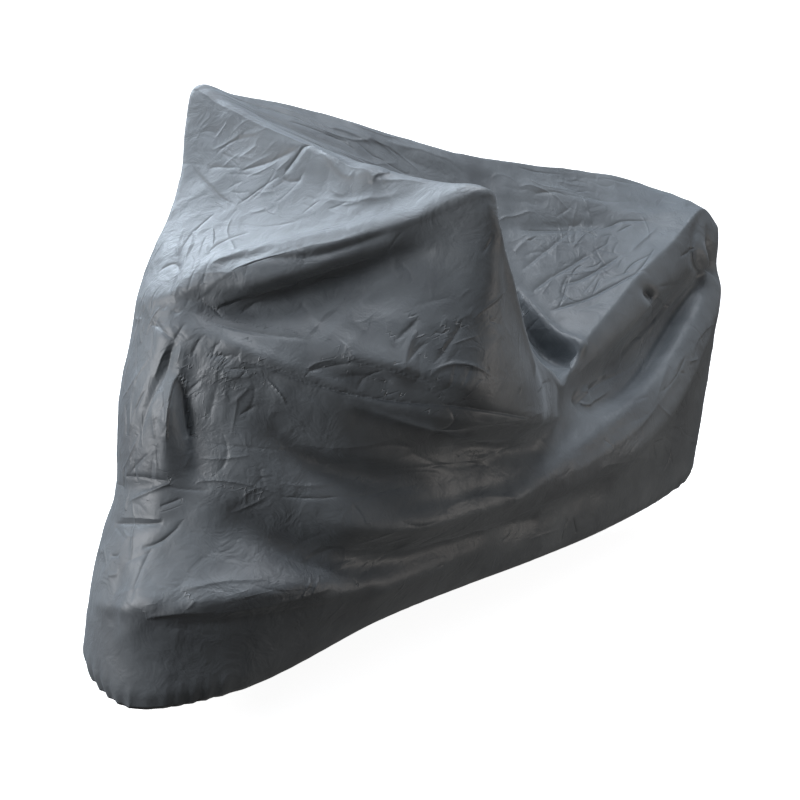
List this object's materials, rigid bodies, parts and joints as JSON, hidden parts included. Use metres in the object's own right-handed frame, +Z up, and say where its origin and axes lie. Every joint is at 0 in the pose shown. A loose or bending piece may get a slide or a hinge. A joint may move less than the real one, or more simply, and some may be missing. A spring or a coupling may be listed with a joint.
{
  "type": "motorcycle cover",
  "caption": "Fitted cloth cover draped over a parked motorcycle shape, hollow and open at an elastic hem, with peaks over the grips and a deep hollow over the saddle.",
  "frame": {"origin": "a point just under the cloth over the middle of the machine, 0.86 m above the ground that the machine would stand on", "axes": "+Z up, -X towards the machine's front, -Y towards its left side, where the side stand is"},
  "size_m": [2.0692, 0.8905, 1.215],
  "materials": {
    "cloth": "dark grey coated polyester, plain weave, matt with a faint sheen"
  },
  "bodies": {
    "root": {"cover": "cloth"}
  },
  "joints": []
}
